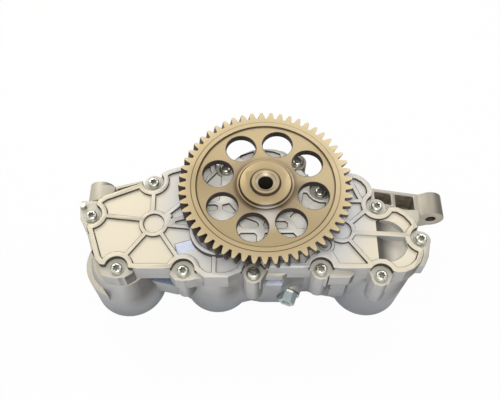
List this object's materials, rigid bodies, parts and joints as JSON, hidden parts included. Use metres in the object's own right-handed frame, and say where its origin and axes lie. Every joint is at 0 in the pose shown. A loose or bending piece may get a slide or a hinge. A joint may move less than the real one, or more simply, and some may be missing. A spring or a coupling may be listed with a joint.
{
  "type": "engine oil pump",
  "caption": "Gear-type engine oil pump with ribbed cover, helical drive gear, relief valve and two side mounting bosses.",
  "frame": {"origin": "where the drive shaft's axis meets the plane that the housing's lobes stand on", "axes": "+Z along the drive shaft's axis from the housing to the drive gear, +X along the long side, +Y towards the engine's face"},
  "size_m": [0.3745, 0.1835, 0.113],
  "materials": {
    "cast_housing": "die-cast aluminium, fine grain, matte to satin",
    "cast_cover": "die-cast aluminium, pale, satin",
    "plated_steel": "bright zinc plate",
    "ground_steel": "ground steel",
    "bearing_bronze": "machined bronze",
    "gear_steel": "hardened steel with a tan tint, machined",
    "shaft_steel": "ground steel, satin",
    "seal_rubber": "black oil-proof rubber"
  },
  "bodies": {
    "casing": {"housing": "cast_housing", "front_cover": "cast_cover", "cover_screws": "plated_steel", "locating_sleeves": "ground_steel", "locating_pin": "ground_steel", "drive_rear_bush": "bearing_bronze", "idler_rear_bush": "bearing_bronze", "drive_front_bush": "bearing_bronze", "idler_front_bush": "bearing_bronze", "thrust_washer": "bearing_bronze", "relief_spring": "plated_steel", "relief_plug": "plated_steel", "relief_snap_ring": "plated_steel", "gallery_plug": "plated_steel", "gallery_plug_washer": "plated_steel", "suction_port_seal": "seal_rubber", "outlet_port_seal": "seal_rubber"},
    "drive": {"drive_gear": "gear_steel", "drive_shaft": "shaft_steel", "driver_gear": "ground_steel", "drive_key": "ground_steel"},
    "idler": {"driven_gear": "ground_steel", "idler_shaft": "ground_steel"},
    "relief": {"relief_piston": "ground_steel"}
  },
  "joints": [
    {"name": "drive_spin", "type": "hinge", "parent": "casing", "child": "drive", "pos_m": [0, 0, 0.06], "axis": [0, 0, 1], "continuous": true},
    {"name": "idler_spin", "type": "hinge", "parent": "casing", "child": "idler", "pos_m": [-0.046, -0.041, 0.05], "axis": [0, 0, 1], "continuous": true},
    {"name": "relief_slide", "type": "slide", "parent": "casing", "child": "relief", "axis": [0, 0, -1], "range_m": [0, 0.008], "stiffness_N_per_m": 4000, "springref_m": -0.01, "deforming": ["relief_spring"]}
  ],
  "couplings": [
    {"joint": "idler_spin", "follows": "drive_spin", "ratio": -1}
  ]
}
